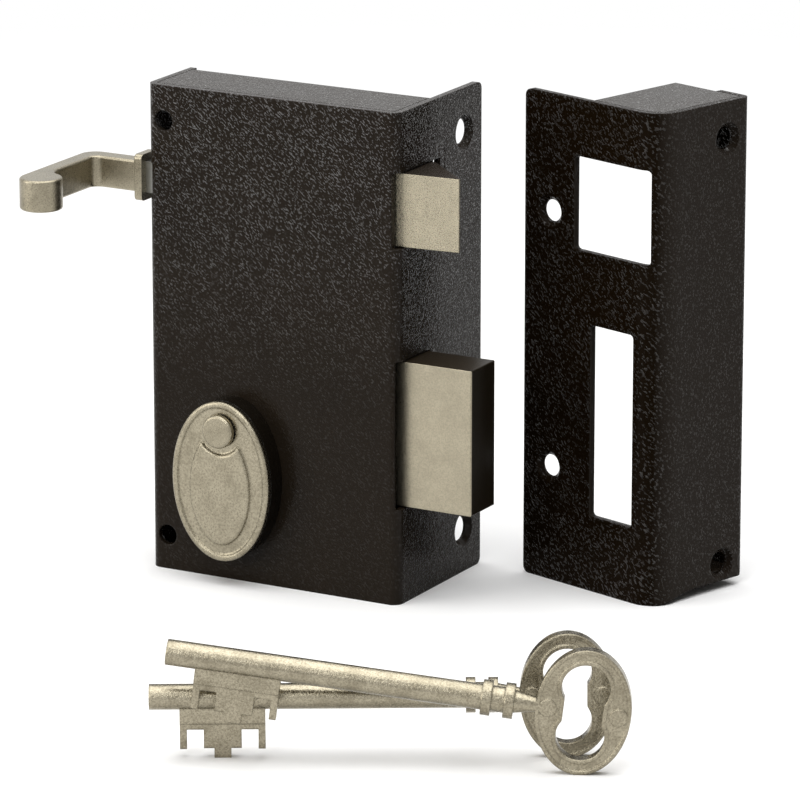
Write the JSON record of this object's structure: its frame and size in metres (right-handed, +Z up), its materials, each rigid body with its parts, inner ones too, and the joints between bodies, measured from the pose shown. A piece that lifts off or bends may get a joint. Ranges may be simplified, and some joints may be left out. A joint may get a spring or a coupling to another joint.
{
  "type": "rim lock",
  "caption": "Surface-mounted door lock with a key-thrown square deadbolt, a sprung bevelled latch with a pull handle, a swing keyhole cover, an angle keeper with two windows and lever keys.",
  "frame": {"origin": "centre of the case's back face, which lies on the door", "axes": "+X towards the forend and its bolts, +Y out of the back into the door, +Z up"},
  "size_m": [0.2262, 0.2203, 0.14],
  "materials": {
    "case_paint": "hammered gloss, brown-black",
    "boss_paint": "gloss black",
    "satin_nickel": "fine cast, satin nickel plate",
    "plain_steel": "zinc plated",
    "spring_steel": "drawn wire",
    "lever_brass": "stamped"
  },
  "bodies": {
    "lock_case": {"case_shell": "case_paint", "back_cover": "case_paint", "keyhole_boss": "boss_paint", "cover_rivet": "satin_nickel", "crank_post": "plain_steel", "spring_bracket": "plain_steel", "tail_guide_post": "plain_steel", "lever_post": "plain_steel", "lever_spacers": "plain_steel", "spring_stop_post": "plain_steel", "cover_posts": "plain_steel", "cover_screws": "plain_steel", "keeper_plate": "case_paint", "keeper_top_cap": "case_paint", "keeper_bottom_cap": "case_paint", "key_1": "satin_nickel", "key_2": "satin_nickel"},
    "latch": {"latch_bolt": "satin_nickel", "latch_rivets": "plain_steel", "pull_bar": "plain_steel", "pull_handle": "satin_nickel", "drive_pin": "plain_steel", "spring_rod": "plain_steel", "latch_spring": "spring_steel"},
    "crank": {"latch_crank": "plain_steel"},
    "bolt": {"deadbolt": "satin_nickel", "bolt_tail": "plain_steel", "tail_rivets": "plain_steel", "bolt_stump": "plain_steel"},
    "swing_cover": {"keyhole_cover": "satin_nickel"},
    "lever_body_1": {"lever_1": "lever_brass", "lever_spring_1": "spring_steel"},
    "lever_body_2": {"lever_2": "lever_brass", "lever_spring_2": "spring_steel"},
    "lever_body_3": {"lever_3": "lever_brass", "lever_spring_3": "spring_steel"},
    "lever_body_4": {"lever_4": "lever_brass", "lever_spring_4": "spring_steel"}
  },
  "joints": [
    {"name": "latch_slide", "type": "slide", "parent": "lock_case", "child": "latch", "axis": [1, 0, 0], "range_m": [-0.018, 0], "stiffness_N_per_m": 250, "springref_m": 0.012, "deforming": ["latch_spring"]},
    {"name": "latch_crank_turn", "type": "hinge", "parent": "lock_case", "child": "crank", "pos_m": [-0.018, -0.005, -0.01], "axis": [0, -1, 0], "range_deg": [0, 19.6]},
    {"name": "deadbolt_slide", "type": "slide", "parent": "lock_case", "child": "bolt", "axis": [1, 0, 0], "range_m": [-0.0208, 0]},
    {"name": "keyhole_cover_swing", "type": "hinge", "parent": "lock_case", "child": "swing_cover", "pos_m": [-0.0125, -0.0309, -0.0246], "axis": [0, -1, 0], "range_deg": [-100, 100]},
    {"name": "lever_1_lift", "type": "hinge", "parent": "lock_case", "child": "lever_body_1", "pos_m": [-0.031, -0.02, -0.001], "axis": [0, -1, 0], "range_deg": [-4, 3], "stiffness_Nm_per_rad": 0.5},
    {"name": "lever_2_lift", "type": "hinge", "parent": "lock_case", "child": "lever_body_2", "pos_m": [-0.031, -0.02, -0.001], "axis": [0, -1, 0], "range_deg": [-4, 3], "stiffness_Nm_per_rad": 0.5},
    {"name": "lever_3_lift", "type": "hinge", "parent": "lock_case", "child": "lever_body_3", "pos_m": [-0.031, -0.02, -0.001], "axis": [0, -1, 0], "range_deg": [-4, 3], "stiffness_Nm_per_rad": 0.5},
    {"name": "lever_4_lift", "type": "hinge", "parent": "lock_case", "child": "lever_body_4", "pos_m": [-0.031, -0.02, -0.001], "axis": [0, -1, 0], "range_deg": [-4, 3], "stiffness_Nm_per_rad": 0.5}
  ],
  "couplings": [
    {"joint": "latch_crank_turn", "follows": "latch_slide", "rad_per_m": -18.95}
  ]
}
